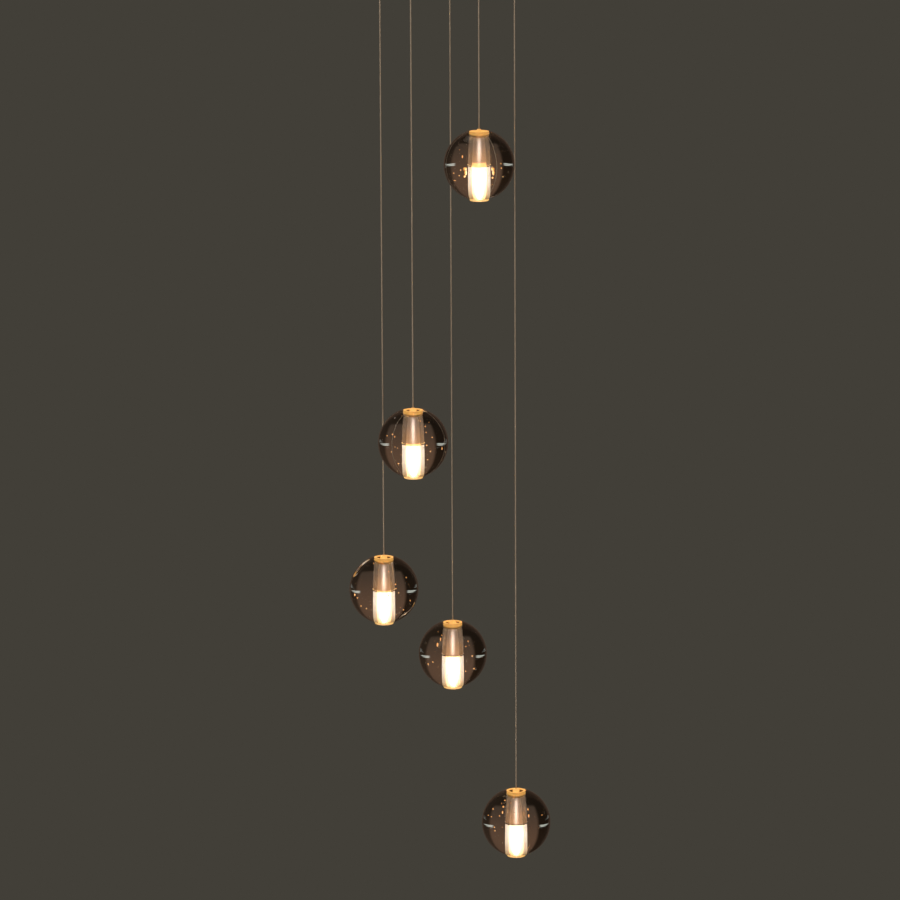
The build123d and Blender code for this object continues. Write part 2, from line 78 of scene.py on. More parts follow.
# %% Camera at the photograph's place
LOOK_DOWN = math.radians(11.3)
LOOK_ASIDE = math.radians(2.37)
ROLL = math.radians(0.27)
DISTANCE = 8.3          # metres
TARGET = Vector((0.0, 0.0, -0.818))
SIDESTEP = 0.0014       # metres to the right, to centre the balls as the picture has them
LENS = 205.5            # mm
SENSOR = 36.0           # mm
PICTURE = 900           # pixels each way

aside = Vector((math.cos(LOOK_ASIDE), math.sin(LOOK_ASIDE), 0.0))
level = Vector((-math.sin(LOOK_ASIDE), math.cos(LOOK_ASIDE), 0.0))
forward = level * math.cos(LOOK_DOWN) - Vector((0.0, 0.0, math.sin(LOOK_DOWN)))
upward = aside.cross(forward)
camera_x = aside * math.cos(ROLL) - upward * math.sin(ROLL)
camera_y = upward * math.cos(ROLL) + aside * math.sin(ROLL)

camera_data = bpy.data.cameras.new("long_lens")
camera_data.lens = LENS
camera_data.sensor_width = SENSOR
camera_data.clip_start = 0.5
camera_data.clip_end = 60.0
camera = bpy.data.objects.new("camera", camera_data)
bpy.context.scene.collection.objects.link(camera)
turn = Matrix((camera_x, camera_y, -forward)).transposed().to_4x4()
camera.matrix_world = Matrix.Translation(TARGET + aside * SIDESTEP - forward * DISTANCE) @ turn
bpy.context.scene.camera = camera


def seen_at(point):
    """Where a point in metres falls in the picture, in pixels."""
    local = camera.matrix_world.inverted() @ Vector(point)
    scale = PICTURE * LENS / SENSOR / -local.z
    return round(PICTURE / 2 + local.x * scale, 1), round(PICTURE / 2 - local.y * scale, 1)


for number in DROPS:
    print("ball", number, "is seen at", seen_at(ball_centre(number) * MM))

# %% [markdown]
# ## Nodes and colours
# Every finish in Blender is a tree of nodes. One small function adds each node with its
# options and its inputs, and hands back the output that the next node needs. Colours are
# written as the hex values that a paint program shows, and one function turns them into the
# linear values that the renderer adds up.
#
# Two sets of options are used so often that they have names. SMOOTH makes a Map Range node
# rise smoothly from 0 to 1 as its input 0 goes from input 1 to input 2. COLOURS makes a Mix
# node mix colours: input 0 is the share of the second, and inputs 6 and 7 are the two.

# %% Colours and nodes
SMOOTH = {"interpolation_type": "SMOOTHSTEP"}
COLOURS = {"data_type": "RGBA", "out": 2}


def linear(hex_colour):
    """An sRGB hex colour as linear red, green, blue and alpha."""
    parts = [int(hex_colour[i:i + 2], 16) / 255 for i in (1, 3, 5)]
    return [c / 12.92 if c <= 0.04045 else ((c + 0.055) / 1.055) ** 2.4 for c in parts] + [1.0]


def add(tree, kind, inputs=None, out=0, **options):
    """Adds a node, sets its options, sets or links its inputs, and gives back one output."""
    node = tree.nodes.new("ShaderNode" + kind)
    for name, value in options.items():
        setattr(node, name, value)
    for name, value in (inputs or {}).items():
        if isinstance(value, bpy.types.NodeSocket):
            tree.links.new(value, node.inputs[name])
        else:
            node.inputs[name].default_value = linear(value) if isinstance(value, str) else value
    return node.outputs[out] if node.outputs else None


print("a warm white in linear light:", [round(c, 3) for c in linear("#fff5f0")])

# %% [markdown]
# ## The room
# The backdrop is one even warm grey, but what the glass sees round it matters as much as the
# glass. The photograph's balls show a lighter wall that ends thirty to forty degrees to each
# side, a dark room beyond it, a dark floor, and low down on each side two bright slots of
# daylight, which the lens of the ball bends into the silvery glints at the seam.
#
# Such a room could be built from walls and windows. It is painted on the world instead, by
# the direction that a ray goes in, because then each edge can be set where the glass shows
# it. The two directions are the azimuth, in degrees to the right of the camera's line, and
# the elevation, in degrees above level.

# %% Directions in the room
TO_DEGREES = 180 / math.pi
UP = Vector((0.0, 0.0, 1.0))

scene = bpy.context.scene
scene.view_settings.view_transform = "Standard"
world = bpy.data.worlds.new("studio")
scene.world = world
world.use_nodes = True
tree = world.node_tree
tree.nodes.clear()

ray = add(tree, "TexCoord", out="Generated")
ahead = add(tree, "VectorMath", {0: ray, 1: level}, out="Value", operation="DOT_PRODUCT")
sideways = add(tree, "VectorMath", {0: ray, 1: aside}, out="Value", operation="DOT_PRODUCT")
rise = add(tree, "VectorMath", {0: ray, 1: UP}, out="Value", operation="DOT_PRODUCT")
bearing = add(tree, "Math", {0: sideways, 1: ahead}, operation="ARCTAN2")
azimuth = add(tree, "Math", {0: bearing, 1: TO_DEGREES}, operation="MULTIPLY")
off_centre = add(tree, "Math", {0: azimuth}, operation="ABSOLUTE")
slant = add(tree, "Math", {0: rise}, operation="ARCSINE")
elevation = add(tree, "Math", {0: slant, 1: TO_DEGREES}, operation="MULTIPLY")
print("the two directions take", len(tree.nodes), "nodes")

# %% Lighter wall
# Each edge fades between two limits, in degrees
left_edge = add(tree, "MapRange", {0: azimuth, 1: -33, 2: -25}, **SMOOTH)
right_edge = add(tree, "MapRange", {0: azimuth, 1: 46, 2: 36}, **SMOOTH)
foot_edge = add(tree, "MapRange", {0: elevation, 1: -38, 2: -32}, **SMOOTH)
wall = add(tree, "Math", {0: right_edge, 1: foot_edge}, operation="MULTIPLY")
wall = add(tree, "Math", {0: left_edge, 1: wall}, operation="MULTIPLY")
up_the_wall = add(tree, "MapRange", {0: elevation, 1: -38, 2: 12}, **SMOOTH)
wall_tone = add(tree, "Mix", {0: up_the_wall, 6: "#43382f", 7: "#5e4839"}, **COLOURS)
print("with the wall:", len(tree.nodes), "nodes")

# %% Dark room beyond it
# It is darkest low on the left and least dark high on the right; the limits are in degrees
to_the_right = add(tree, "MapRange", {0: azimuth, 1: -60, 2: 60}, **SMOOTH)
low_tone = add(tree, "Mix", {0: to_the_right, 6: "#120d08", 7: "#231c15"}, **COLOURS)
high_tone = add(tree, "Mix", {0: to_the_right, 6: "#21160d", 7: "#382b21"}, **COLOURS)
up_the_room = add(tree, "MapRange", {0: elevation, 1: -40, 2: 40}, **SMOOTH)
room_tone = add(tree, "Mix", {0: up_the_room, 6: low_tone, 7: high_tone}, **COLOURS)
room = add(tree, "Mix", {0: wall, 6: room_tone, 7: wall_tone}, **COLOURS)
print("with the dark room:", len(tree.nodes), "nodes")

# %% [markdown]
# The slots are thin lines of light. The camera looks down, so the further round the ball
# turns a ray, the less it dips. A line that climbs with its azimuth in the same way gives a
# glint that lies level in the ball.

# %% Slots of daylight
SLOT_START = 33.0       # azimuth on each side, in degrees
SLOT_CLIMB = 0.14       # degrees up for each degree further round
SLOT_STRENGTH = 0.9


def bell(value):
    """1 where a value is 0, falling off smoothly on both sides."""
    square = add(tree, "Math", {0: value, 1: value}, operation="MULTIPLY")
    negative = add(tree, "Math", {0: square, 1: -1.0}, operation="MULTIPLY")
    return add(tree, "Math", {0: negative}, operation="EXPONENT")


def slot(start_elevation, half_width, end):
    """A line of light on each side, from SLOT_START to an end azimuth. All in degrees."""
    beyond = add(tree, "Math", {0: off_centre, 1: SLOT_START}, operation="SUBTRACT")
    climb = add(tree, "Math", {0: beyond, 1: SLOT_CLIMB}, operation="MULTIPLY")
    middle = add(tree, "Math", {0: climb, 1: start_elevation}, operation="ADD")
    above = add(tree, "Math", {0: elevation, 1: middle}, operation="SUBTRACT")
    line = bell(add(tree, "Math", {0: above, 1: half_width}, operation="DIVIDE"))
    begins = add(tree, "MapRange", {0: off_centre, 1: SLOT_START - 3, 2: SLOT_START + 3}, **SMOOTH)
    ends = add(tree, "MapRange", {0: off_centre, 1: end + 8, 2: end - 8}, **SMOOTH)
    span = add(tree, "Math", {0: begins, 1: ends}, operation="MULTIPLY")
    return add(tree, "Math", {0: line, 1: span}, operation="MULTIPLY")


slots = add(tree, "Math", {0: slot(-8.2, 0.6, 60), 1: slot(-6.5, 0.5, 50)}, operation="ADD")
slots = add(tree, "Math", {0: slots, 1: SLOT_STRENGTH}, operation="MULTIPLY")
lit_room = add(tree, "Mix", {0: slots, 6: room, 7: "#e8f0e8"}, blend_type="ADD", **COLOURS)
print("with the slots:", len(tree.nodes), "nodes")

# %% [markdown]
# Behind the camera and below it is one soft light. A ray that comes down at the satin sleeve
# leaves it going down as well, so the light must lie low to draw the sleeve's upright
# highlight. Light from any higher would come back off the ball's far side and grey the
# glass, so above it there is only a very faint glow.

# %% Soft light low behind the camera
KEY_WIDTH = 18.0        # degrees
KEY_STRENGTH = 3.8
REAR_STRENGTH = 0.02

from_behind = add(tree, "Math", {0: 180.0, 1: off_centre}, operation="SUBTRACT")
key = bell(add(tree, "Math", {0: from_behind, 1: KEY_WIDTH}, operation="DIVIDE"))
key_top = add(tree, "MapRange", {0: elevation, 1: -12, 2: -17}, **SMOOTH)
key_foot = add(tree, "MapRange", {0: elevation, 1: -75, 2: -35}, **SMOOTH)
key_height = add(tree, "Math", {0: key_top, 1: key_foot}, operation="MULTIPLY")
key = add(tree, "Math", {0: key, 1: key_height}, operation="MULTIPLY")
key = add(tree, "Math", {0: key, 1: KEY_STRENGTH}, operation="MULTIPLY")
rear_sides = add(tree, "MapRange", {0: off_centre, 1: 130, 2: 170}, **SMOOTH)
rear_foot = add(tree, "MapRange", {0: elevation, 1: -25, 2: 5}, **SMOOTH)
rear = add(tree, "Math", {0: rear_sides, 1: rear_foot}, operation="MULTIPLY")
rear = add(tree, "Math", {0: rear, 1: REAR_STRENGTH}, operation="MULTIPLY")
soft = add(tree, "Math", {0: key, 1: rear}, operation="ADD")
seen = add(tree, "Mix", {0: soft, 6: lit_room, 7: "#fff5f0"}, blend_type="ADD",
           clamp_factor=False, **COLOURS)
print("with the low light:", len(tree.nodes), "nodes")

# %% [markdown]
# A ray that comes straight from the camera sees none of this, only the even warm grey of the
# photograph's backdrop.

# %% Backdrop
straight = add(tree, "LightPath", out="Is Camera Ray")
backdrop = add(tree, "Mix", {0: straight, 6: seen, 7: "#423f38"}, **COLOURS)
glow = add(tree, "Background", {"Color": backdrop})
add(tree, "OutputWorld", {"Surface": glow})
print("the whole room:", len(tree.nodes), "nodes")

# %% [markdown]
# ## Making a finish
# Each finish is started as an empty tree, its patterns are added, and then it is closed with
# one shader that takes them. A pattern's scale comes from a real size in millimetres: grain
# of that size in the object's own space stays the same on a small piece and a large one.

# %% Starting, graining and closing a finish


def new_finish(name):
    """A material with an empty node tree, and that tree."""
    finish = bpy.data.materials.new(name)
    finish.use_nodes = True
    finish.node_tree.nodes.clear()
    return finish, finish.node_tree


def grain(tree, size_mm, detail=2.0, stretch=(1.0, 1.0, 1.0)):
    """Soft cloudy grain of about a given size, in the object's own space."""
    place = add(tree, "TexCoord", out="Object")
    scaled = add(tree, "Mapping", {"Vector": place, "Scale": stretch})
    return add(tree, "TexNoise", {"Vector": scaled, "Scale": 1 / (size_mm * MM),
                                  "Detail": detail})


def close_finish(finish, surface_inputs, shader="BsdfPrincipled"):
    """Ends a finish with its shader and output, and gives it back."""
    tree = finish.node_tree
    surface = add(tree, shader, surface_inputs)
    add(tree, "OutputMaterial", {"Surface": surface})
    print("finish", finish.name, "has", len(tree.nodes), "nodes")
    return finish


# %% [markdown]
# ## Floor
# A pale floor lies far below the balls, for views that look down. It could be a box or a
# plane, but a disc has no corner to show. The photograph's glass doesn't show a floor, so
# the glass here is made blind to it. Its finish is matt emulsion paint: soft clouds of 25 mm
# and high roughness keep it from looking like paper.

# %% Lay the floor
FLOOR_Z = -2.4          # metres
FLOOR_R = 1.1

bpy.ops.object.select_all(action="DESELECT")
bpy.ops.mesh.primitive_circle_add(vertices=96, radius=FLOOR_R, fill_type="NGON",
                                  location=(0, 0, FLOOR_Z))
floor = bpy.context.object
floor.name = "floor"
finish, tree = new_finish("pale_floor_paint")
paint = add(tree, "Mix", {0: grain(tree, 25.0), 6: "#bdb6ac", 7: "#c6bfb5"}, **COLOURS)
floor.data.materials.append(close_finish(finish, {"Base Color": paint, "Roughness": 0.8}))
floor.visible_transmission = False
floor.visible_glossy = False
print("floor", FLOOR_R * 2, "m across, at", FLOOR_Z, "m")

# %% [markdown]
# ## Lights
# Four large panels light the matt surfaces: the key in front on the left, a weaker fill on
# the right, and two more behind, so that the back of the canopy isn't lost in the dark.
# Spots or a sun would draw hard shadows, and a studio's soft boxes don't. The glass and the
# metal are blind to the panels, so no hard patch shows on a ball.

# %% Four soft panels
CLUSTER_MIDDLE = Vector((0.0, 0.0, -0.85))      # metres


def add_panel(name, place, width, height, watts, colour):
    """A rectangular soft light, aimed at the middle of the cluster."""
    data = bpy.data.lights.new(name, "AREA")
    data.shape = "RECTANGLE"
    data.size, data.size_y, data.energy = width, height, watts
    data.color = linear(colour)[:3]
    panel = bpy.data.objects.new(name, data)
    bpy.context.scene.collection.objects.link(panel)
    panel.location = place
    panel.rotation_euler = (CLUSTER_MIDDLE - Vector(place)).to_track_quat("-Z", "Y").to_euler()
    panel.visible_glossy = False
    panel.visible_transmission = False
    print(name, "stands", round((CLUSTER_MIDDLE - Vector(place)).length, 2), "m away")


add_panel("key_panel", (-1.9, -3.2, 0.1), 1.6, 3.0, 42.0, "#fff6ee")
add_panel("fill_panel", (3.2, -1.8, -0.4), 1.6, 2.4, 12.0, "#fff1e2")
add_panel("back_panel", (-2.0, 2.6, 1.8), 2.0, 2.6, 45.0, "#fff4ea")
add_panel("side_panel", (3.0, 2.2, 0.2), 1.6, 2.4, 20.0, "#fff4ea")

# %% [markdown]
# ## The cords
# A cord is two thin wires under a tinned copper braid and a clear jacket, 2.2 mm thick, and
# a heavy ball pulls it straight. A stretched cylinder would do for the shape. It is drawn as
# a NURBS curve instead, from the cord grip down to the lamp holder, given thickness and made
# a mesh, because that brings a UV map with the length along U and the way round along V. The
# braid is drawn in that map: its two sets of strands cross, and the eye gets fine glints and
# a beige that is lighter where the strands stand up, with painted shade in the gaps between
# them. The coat is the jacket's shine.

# %% Braid finish
CORD_R = 1.1
BRAID_PITCH = 7.0       # along the cord for one turn of a strand, in mm
BRAID_STRANDS = 6       # bundles each way; fewer and coarser than real ones, so that they show
BRAID_RELIEF = 0.2      # mm


def braid_finish(name, length_mm):
    """Two crossing sets of bright strands with painted shade between, in the cord's own UV map,
    under a clear jacket.
    """
    finish, tree = new_finish(name)
    uv = add(tree, "TexCoord", out="UV")
    split = add(tree, "SeparateXYZ", {0: uv}).node
    turns = length_mm / BRAID_PITCH
    strands = []
    for way in (turns, -turns):
        twist = add(tree, "Math", {0: split.outputs["X"], 1: way}, operation="MULTIPLY")
        phase = add(tree, "Math", {0: twist, 1: split.outputs["Y"]}, operation="ADD")
        angle = add(tree, "Math", {0: phase, 1: 2 * math.pi * BRAID_STRANDS},
                    operation="MULTIPLY")
        strands.append(add(tree, "Math", {0: angle}, operation="SINE"))
    top_strand = add(tree, "Math", dict(enumerate(strands)), operation="MAXIMUM")
    height = add(tree, "MapRange", {0: top_strand, 1: -0.6, 2: 1.0}, **SMOOTH)
    # Painted shade: the gaps between the strands are darker, their tops lighter
    copper = add(tree, "Mix", {0: height, 6: "#706454", 7: "#d2c2aa"}, **COLOURS)
    bump = add(tree, "Bump", {"Height": height, "Strength": 0.5, "Distance": BRAID_RELIEF * MM})
    return close_finish(finish, {"Base Color": copper, "Normal": bump, "Metallic": 0.25,
                                 "Roughness": 0.4, "Coat Weight": 0.6,
                                 "Coat Roughness": 0.15, "Coat IOR": 1.45})


print("a strand turns once in", BRAID_PITCH, "mm of cord")

# %% A pen for cords
CORD_STEPS = 5          # control points on each cord


def draw_cord(name, points, radius_mm):
    """A NURBS route made a round tube. Returns the tube and the line it follows, in metres."""
    curve = bpy.data.curves.new(name, "CURVE")
    curve.dimensions = "3D"
    curve.resolution_u = 12
    spline = curve.splines.new("NURBS")
    spline.points.add(len(points) - 1)
    for control, point in zip(spline.points, points):
        control.co = (*point, 1.0)
    spline.order_u = 3
    spline.use_endpoint_u = True
    tube = bpy.data.objects.new(name, curve)
    bpy.context.scene.collection.objects.link(tube)
    bare = bpy.data.meshes.new_from_object(tube)
    path = [tuple(v.co) for v in bare.vertices]
    bpy.data.meshes.remove(bare)
    curve.bevel_depth = radius_mm * MM
    curve.bevel_resolution = 3
    curve.use_fill_caps = True
    bpy.ops.object.select_all(action="DESELECT")
    tube.select_set(True)
    bpy.context.view_layer.objects.active = tube
    bpy.ops.object.convert(target="MESH")
    tube = bpy.context.object
    bpy.ops.object.shade_smooth_by_angle(angle=math.radians(50))
    return tube, path


print("each cord is drawn through", CORD_STEPS, "control points")

# %% Draw the five cords
PIVOT_Z = -59.5         # the grips' pivots, where the cords leave the canopy
CORD_FOOT_UP = 10.7     # each cord ends this far above the middle of its ball

for number in DROPS:
    centre = ball_centre(number)
    foot_z = centre.z + CORD_FOOT_UP
    step = (foot_z - PIVOT_Z) / (CORD_STEPS - 1)
    points = [Vector((centre.x, centre.y, PIVOT_Z + i * step)) * MM for i in range(CORD_STEPS)]
    cord, path = draw_cord(f"braided_cord_{number}", points, CORD_R)
    length = (PIVOT_Z - foot_z) * MM
    cord.data.materials.append(braid_finish(f"copper_braid_{number}", length / MM))
    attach(cord, f"hung_cord_{number}")
    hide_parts(f"cord_{number}")
    print("cord", number, round(length, 4), "m,", len(cord.data.polygons), "faces")

# %% [markdown]
# ## Drawing outlines
# Most pieces of a lamp are turned, pressed or blown, so they are solids of revolution. A
# cylinder could be shaped ring by ring. It is surer to draw half of the cross-section in the
# plane of X and Z and spin it, because every radius and height is then a number from the
# drawing. A primitive is merged to one vertex, which is extruded for each straight line and
# spun for each arc, and at last the whole outline is spun round the Z axis.

# %% A pen that draws with edit-mode operators
WELD = 0.004            # mm, to merge what the spin leaves double


class Pen:
    """Draws half a cross-section in millimetres, as radius and height, and then turns it."""

    def __init__(self, name, x, z):
        bpy.ops.object.select_all(action="DESELECT")
        bpy.ops.mesh.primitive_plane_add(size=MM, calc_uvs=False, location=(0, 0, 0))
        self.piece = bpy.context.object
        self.piece.name = name
        bpy.ops.object.mode_set(mode="EDIT")
        bpy.ops.mesh.select_mode(type="VERT")
        bpy.ops.mesh.select_all(action="SELECT")
        bpy.ops.mesh.merge(type="CENTER")
        bpy.ops.transform.translate(value=(x * MM, 0, z * MM))
        self.x, self.z = x, z

    def line(self, *corners):
        """Straight lines to each (radius, height) in turn."""
        for x, z in corners:
            move = ((x - self.x) * MM, 0, (z - self.z) * MM)
            bpy.ops.mesh.extrude_region_move(TRANSFORM_OT_translate={"value": move})
            self.x, self.z = x, z

    def arc(self, middle, degrees, steps):
        """An arc round a middle point, anticlockwise where degrees is positive."""
        cx, cz = middle
        a = math.radians(degrees)
        bpy.ops.mesh.spin(steps=steps, angle=a, center=(cx * MM, 0, cz * MM), axis=(0, 1, 0))
        dx, dz = self.x - cx, self.z - cz
        self.x = cx + dx * math.cos(a) - dz * math.sin(a)
        self.z = cz + dx * math.sin(a) + dz * math.cos(a)

    def turn(self, steps, smooth=35.0):
        """Spins the outline into a closed solid of revolution, with its normals outwards."""
        bpy.ops.mesh.select_all(action="SELECT")
        bpy.ops.mesh.spin(steps=steps, angle=2 * math.pi, center=(0, 0, 0), axis=(0, 0, 1))
        bpy.ops.mesh.select_all(action="SELECT")
        bpy.ops.mesh.remove_doubles(threshold=WELD * MM)
        bpy.ops.mesh.normals_make_consistent(inside=False)
        bpy.ops.object.mode_set(mode="OBJECT")
        bpy.ops.object.shade_smooth_by_angle(angle=math.radians(smooth))
        print(self.piece.name, "has", len(self.piece.data.polygons), "faces")
        return self.piece


# %% [markdown]
# ## The two halves of a ball
# The glass is cast in two halves with a finely rounded edge where they meet, and they are
# bonded at the flat between the bore and that edge. The glue has nearly the glass's own
# refractive index, so light crosses the bond as if it weren't there, and only the groove
# outside it shows. One whole ball with a groove would look nearly the same, but the real
# ball is two halves, and so is the CAD model's. The upper half's bore opens to a tapered
# mouth for the cap; the lower half's runs out through a short flat lip.

# %% Sizes of the halves, in millimetres
BALL_R = 56.0
SEAM_EDGE_R = 0.12
BORE_R = 11.7
RIM_R = 16.8
RIM_CHAMFER = 0.4
RIM_Z = math.sqrt(BALL_R ** 2 - RIM_R ** 2)
MOUTH_TOP_R, MOUTH_FOOT_R = 15.55, 12.6
CAP_TOP_Z = RIM_Z + 0.2
CAP_BOTTOM_Z = CAP_TOP_Z - 15.4
MOUTH_FOOT_Z = CAP_BOTTOM_Z - 0.1
LIP_R, LIP_Z, LIP_EDGE_R = 15.2, -57.0, 1.2
LIP_FILLET = 1.0        # softens the corner between the ball and its lip
BORE_CHAMFER = 0.3
RECESS_R, RECESS_Z = 12.4, -1.2
BOND = 0.01             # half the thickness of the glue
GLASS_STEPS = 96        # round the ball
BALL_STEPS = 40         # from the seam to the rim or the lip
EDGE_STEPS = 8

edge_x = math.sqrt((BALL_R - SEAM_EDGE_R) ** 2 - SEAM_EDGE_R ** 2)
edge_turn = math.degrees(math.atan2(SEAM_EDGE_R, edge_x))
rim_turn = math.degrees(math.asin((RIM_Z - RIM_CHAMFER) / BALL_R))
lip_turn = math.degrees(math.acos((LIP_R + LIP_FILLET) / BALL_R))
print("the upper half ends", round(rim_turn, 1), "degrees up, the lower", round(lip_turn, 1), "down")

# %% Turn the upper half
pen = Pen("cast_upper_half", BORE_R, BOND)
pen.line((edge_x, BOND))
pen.arc((edge_x, SEAM_EDGE_R), 90 + edge_turn, EDGE_STEPS)
pen.arc((0, 0), rim_turn - edge_turn, BALL_STEPS)
pen.line((RIM_R - RIM_CHAMFER, RIM_Z), (MOUTH_TOP_R, RIM_Z), (MOUTH_FOOT_R, MOUTH_FOOT_Z),
         (BORE_R, MOUTH_FOOT_Z), (BORE_R, BOND))
upper_half = pen.turn(GLASS_STEPS)

# %% Turn the lower half
pen = Pen("cast_lower_half", RECESS_R, -BOND)
pen.line((edge_x, -BOND))
pen.arc((edge_x, -SEAM_EDGE_R), -90 - edge_turn, EDGE_STEPS)
pen.arc((0, 0), edge_turn - lip_turn, BALL_STEPS)
pen.line((LIP_R + 0.25 * LIP_FILLET, pen.z - 0.35 * LIP_FILLET),
         (LIP_R, pen.z - 0.75 * LIP_FILLET), (LIP_R, LIP_Z + LIP_EDGE_R))
pen.arc((LIP_R - LIP_EDGE_R, LIP_Z + LIP_EDGE_R), -90, 6)
pen.line((BORE_R + BORE_CHAMFER, LIP_Z), (BORE_R, LIP_Z + BORE_CHAMFER), (BORE_R, RECESS_Z),
         (RECESS_R, RECESS_Z), (RECESS_R, -BOND))
lower_half = pen.turn(GLASS_STEPS)

# %% [markdown]
# ## Clear glass and the bond
# The outside is fire-polished cast glass. It is quite clear and quite smooth, so it bends
# the room behind it and gives the eye sharp dark rims; the mould leaves faint ripples, about
# 22 mm across and too shallow to see but for a slight waver in what shows through. The bond
# is a bare transparent surface, because light crosses it without bending.

# %% Cast glass and bond
GLASS_IOR = 1.5
RIPPLE = 22.0           # mm across
RIPPLE_DEPTH = 0.4      # mm

finish, tree = new_finish("cast_glass")
ripples = add(tree, "Bump", {"Height": grain(tree, RIPPLE, 1.0), "Strength": 0.25,
                             "Distance": RIPPLE_DEPTH * MM})
cast_glass = close_finish(finish, {"Base Color": linear("#fbf7f2"), "Roughness": 0.0,
                                   "IOR": GLASS_IOR, "Transmission Weight": 1.0,
                                   "Normal": ripples})
clear_bond = close_finish(new_finish("clear_bond")[0], {}, "BsdfTransparent")

# %% [markdown]
# ## Ground glass
# The bore is ground, so part of the light that meets it passes blurred and part is
# scattered. Real grinding marks are under a tenth of a millimetre. They are drawn as 1.1 mm
# grain, as coarse as they need to be to show at all.
#
# Ground glass that a lamp lights could be left to the lamp, but light that passes two rough
# walls is slow to render and stays noisy. So the glow is in the finish: it is drawn along
# the V of a UV map in which V goes up the ball, from 0 at its bottom through 0.5 at the seam
# to 1 at its top.

# %% Two helpers for ground glass
GRIND = 1.1             # mm
GRIND_DEPTH = 0.1       # mm


def up_the_ball(tree):
    """The V of the half ball's UV map."""
    uv = add(tree, "TexCoord", out="UV")
    return add(tree, "SeparateXYZ", {0: uv}, out="Y")


def close_ground_glass(finish, body, haze, roughness, glow, strength):
    """Ends a ground-glass finish. Haze is the share of light that is scattered."""
    marks = add(finish.node_tree, "Bump", {"Height": grain(finish.node_tree, GRIND),
                                           "Strength": 0.15, "Distance": GRIND_DEPTH * MM})
    return close_finish(finish, {"Base Color": linear(body), "Roughness": roughness,
                                 "IOR": GLASS_IOR, "Transmission Weight": 1.0 - haze,
                                 "Normal": marks, "Emission Color": glow,
                                 "Emission Strength": strength})


print("grinding is drawn in grain of", GRIND, "mm")

# %% [markdown]
# The upper bore is ground to a thin satin: the sleeve shows through it, softened, and a
# little of the lamp's light spills up it from the seam, drawn as a painted glow over the
# whole bore, dim at the top and warmer and brighter near the seam. Round the mouth the
# ground glass takes a painted amber glow from the cap that sits in it.

# %% Satin bore and amber mouth
finish, tree = new_finish("satin_ground_glass")
# Painted light: a dim glow over the whole bore, warmer and brighter towards the seam
near_seam = add(tree, "MapRange", {0: up_the_ball(tree), 1: 0.76, 2: 0.49}, **SMOOTH)
painted_spill_glow = add(tree, "Mix", {0: near_seam, 6: "#6b5747", 7: "#9a7048"}, **COLOURS)
satin_bore = close_ground_glass(finish, "#f4eeea", 0.1, 0.22, painted_spill_glow, 0.7)

finish, tree = new_finish("amber_lit_ground_glass")
# Painted light: the cap's amber glow, in the body colour and in a glow that fades out lower in the
# mouth
amber = add(tree, "Mix", {0: grain(tree, 5.0), 6: "#cc913f", 7: "#f2b95c"}, **COLOURS)
near_cap = add(tree, "MapRange", {0: up_the_ball(tree), 1: 0.86, 2: 0.895}, **SMOOTH)
mouth_glow = add(tree, "Mix", {0: near_cap, 6: "#1a0f06", 7: amber}, **COLOURS)
amber_mouth = close_ground_glass(finish, "#e9bd80", 0.75, 0.4, mouth_glow, 0.75)

# %% [markdown]
# The lower bore is ground more coarsely and glows with the lamp behind it. It gives the eye
# a nearly white core that turns to honey towards the lip, where less of the lamp's light
# arrives, and in a thin line at the seam. Patches of 6 mm keep it from looking printed.

# %% Lit bore
finish, tree = new_finish("lit_ground_glass")
up = up_the_ball(tree)
above_foot = add(tree, "MapRange", {0: up, 1: 0.06, 2: 0.4}, **SMOOTH)
core = add(tree, "Mix", {0: above_foot, 6: "#a5803a", 7: "#fdf0e0"}, **COLOURS)
below_seam = add(tree, "MapRange", {0: up, 1: 0.5, 2: 0.47}, **SMOOTH)
core = add(tree, "Mix", {0: below_seam, 6: "#e9b064", 7: core}, **COLOURS)
patches = add(tree, "Mix", {0: grain(tree, 6.0), 6: "#d9cbb8", 7: "#ffffff"}, **COLOURS)
core = add(tree, "Mix", {0: 1.0, 6: core, 7: patches}, blend_type="MULTIPLY", **COLOURS)
lit_bore = close_ground_glass(finish, "#fff4e4", 0.4, 0.42, core, 1.05)

# %% [markdown]
# ## Bubbles
# Cast glass traps air. Each bubble is a small hollow inside the glass, so its faces look
# inwards, away from the glass. Particles or a node group could scatter them, but here one
# bubble is modelled and copied, because each copy can then be stretched, leaned and set
# where the photograph shows it. Places that it doesn't show clearly are filled by a seeded
# random draw, which gives the same bubbles on each run.
#
# Most bubbles share the clear glass's finish. Those that the photograph shows, and some near
# the core, catch the core's light and give the eye an orange spark: they are nearly the same
# glass, with a warm glow that varies over 2.5 mm.

# %% Finish of a bubble that the core lights
finish, tree = new_finish("core_lit_bubble")
spark = add(tree, "Mix", {0: grain(tree, 2.5), 6: "#8f4f18", 7: "#ffb668"}, **COLOURS)
lit_bubble = close_finish(finish, {"Base Color": linear("#ffe2b4"), "Roughness": 0.05,
                                   "IOR": GLASS_IOR, "Transmission Weight": 1.0,
                                   "Emission Color": spark, "Emission Strength": 0.9})

# %% One bubble, and its copies
bpy.ops.object.select_all(action="DESELECT")
bpy.ops.mesh.primitive_uv_sphere_add(segments=8, ring_count=6, radius=1.0, calc_uvs=False,
                                     location=(0, 0, 0))
bubble = bpy.context.object
bubble.name = "bubble"
bpy.ops.object.shade_smooth()
bpy.ops.object.mode_set(mode="EDIT")
bpy.ops.mesh.select_all(action="SELECT")
bpy.ops.mesh.flip_normals()
bpy.ops.object.mode_set(mode="OBJECT")
bubble.data.materials.append(cast_glass)
print("one bubble has", len(bubble.data.polygons), "faces")


